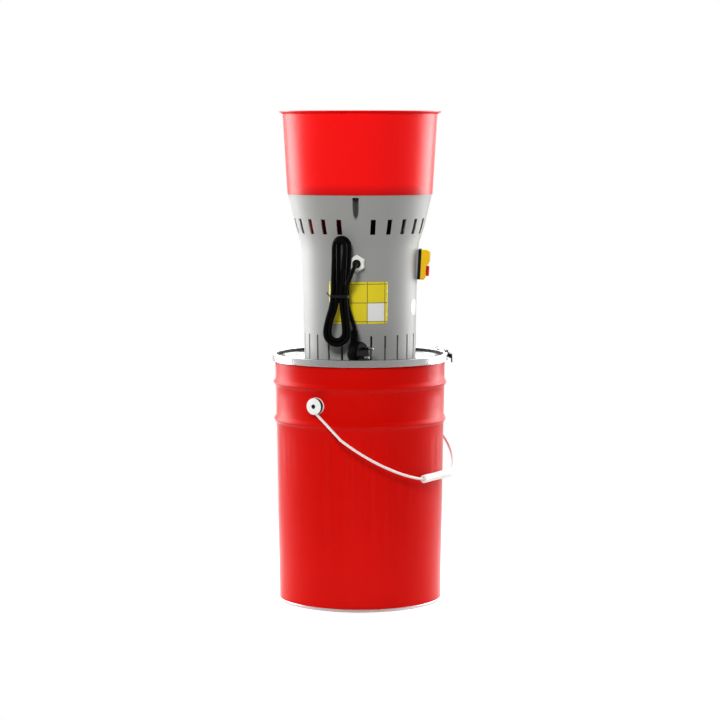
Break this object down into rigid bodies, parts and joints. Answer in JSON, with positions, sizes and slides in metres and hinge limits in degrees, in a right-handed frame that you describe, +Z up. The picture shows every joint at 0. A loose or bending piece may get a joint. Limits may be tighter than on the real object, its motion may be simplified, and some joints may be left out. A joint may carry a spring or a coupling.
{
  "type": "electric grain mill",
  "caption": "Electric grain mill: motor head with a feed hopper, push-button switch and hanked mains cord, clamped by a lever ring on a steel drum with a carrying bail.",
  "frame": {"origin": "centre of the drum's foot ring, on the floor", "axes": "+Z up along the drum's axis; -Y to the front, where the cord hangs; +X to the switch's side"},
  "size_m": [0.3289, 0.3371, 0.8794],
  "materials": {
    "drum_paint": "gloss red",
    "bright_steel": "zinc plated",
    "white_zinc": "pale plated",
    "wire": "pale plated",
    "white_plastic": "satin",
    "lid_paint": "grey",
    "dark_rubber": "matte",
    "casing_plastic": "light grey, fine grain",
    "hopper_plastic": "semi-gloss red",
    "black_plastic": "satin",
    "yellow_plastic": "satin",
    "green_plastic": "satin",
    "red_plastic": "satin",
    "motor_alloy": "cast",
    "core_steel": "laminated",
    "copper": "enamelled wire",
    "hard_steel": "ground"
  },
  "bodies": {
    "drum": {"drum_shell": "drum_paint", "drum_bottom": "bright_steel", "bail_ears": "white_zinc"},
    "bail": {"bail_wire": "wire"},
    "grip": {"bail_grip": "white_plastic"},
    "head": {"lid": "lid_paint", "lid_gasket": "dark_rubber", "closing_ring": "bright_steel", "ring_lugs": "bright_steel", "latch_pins": "bright_steel", "casing": "casing_plastic", "hopper": "hopper_plastic", "hopper_screws": "bright_steel", "casing_screws": "bright_steel", "feed_chute": "bright_steel", "motor_frame": "motor_alloy", "lower_shield": "motor_alloy", "upper_shield": "motor_alloy", "motor_bolts": "bright_steel", "stator_core": "core_steel", "stator_windings": "copper", "shaft_bearings": "hard_steel", "run_capacitor": "white_plastic", "terminal_block": "white_plastic", "head_plate": "motor_alloy", "shaft_seal": "dark_rubber", "sieve": "bright_steel", "sieve_cover": "bright_steel", "sieve_studs": "bright_steel", "wing_nuts": "bright_steel", "switch_gasket": "dark_rubber", "switch_housing": "yellow_plastic", "switch_block": "black_plastic", "switch_screws": "bright_steel", "gland_body": "white_plastic", "gland_nut": "white_plastic", "gland_lock_nut": "white_plastic", "cord_lead": "dark_rubber", "cord_hank": "dark_rubber", "cord_tail": "dark_rubber", "cord_tie": "black_plastic", "plug_body": "dark_rubber", "plug_pins": "bright_steel"},
    "rotor": {"rotor_core": "core_steel", "rotor_shaft": "hard_steel", "cooling_fan": "black_plastic", "blade_hub": "hard_steel", "blade": "hard_steel", "blade_washer": "hard_steel", "blade_nut": "hard_steel"},
    "start": {"start_button": "green_plastic"},
    "stop": {"stop_button": "red_plastic"},
    "gate": {"feed_gate": "bright_steel", "gate_knob": "black_plastic"},
    "lever": {"latch_lever": "black_plastic", "lever_pin": "bright_steel"},
    "link": {"latch_link": "bright_steel"}
  },
  "joints": [
    {"name": "bail_swing", "type": "hinge", "parent": "drum", "child": "bail", "pos_m": [0, 0, 0.364], "axis": [-0.5, -0.866, 0], "range_deg": [0, 88]},
    {"name": "grip_turn", "type": "hinge", "parent": "bail", "child": "grip", "pos_m": [0.13591, -0.07847, 0.23334], "axis": [0.5, 0.866, 0], "continuous": true},
    {"name": "head_lift", "type": "slide", "parent": "drum", "child": "head", "axis": [0, 0, 1], "range_m": [0, 0.15]},
    {"name": "rotor_spin", "type": "hinge", "parent": "head", "child": "rotor", "pos_m": [0, 0, 0.45], "axis": [0, 0, 1], "continuous": true},
    {"name": "start_press", "type": "slide", "parent": "head", "child": "start", "axis": [-0.9968, 0.061, 0.0523], "range_m": [0, 0.0035], "stiffness_N_per_m": 400, "springref_m": -0.001},
    {"name": "stop_press", "type": "slide", "parent": "head", "child": "stop", "axis": [-0.9968, 0.061, 0.0523], "range_m": [0, 0.0035], "stiffness_N_per_m": 400, "springref_m": -0.001},
    {"name": "gate_slide", "type": "slide", "parent": "head", "child": "gate", "axis": [0.061, 0.9981, 0], "range_m": [0, 0.03]},
    {"name": "lever_swing", "type": "hinge", "parent": "head", "child": "lever", "pos_m": [0.15568, 0.04464, 0.441], "axis": [0, 0, 1], "range_deg": [0, 75]},
    {"name": "link_swing", "type": "hinge", "parent": "lever", "child": "link", "pos_m": [0.15876, 0.03201, 0.4489], "axis": [0, 0, 1], "range_deg": [-75, 0]}
  ],
  "couplings": [
    {"joint": "link_swing", "follows": "lever_swing", "ratio": -1}
  ]
}
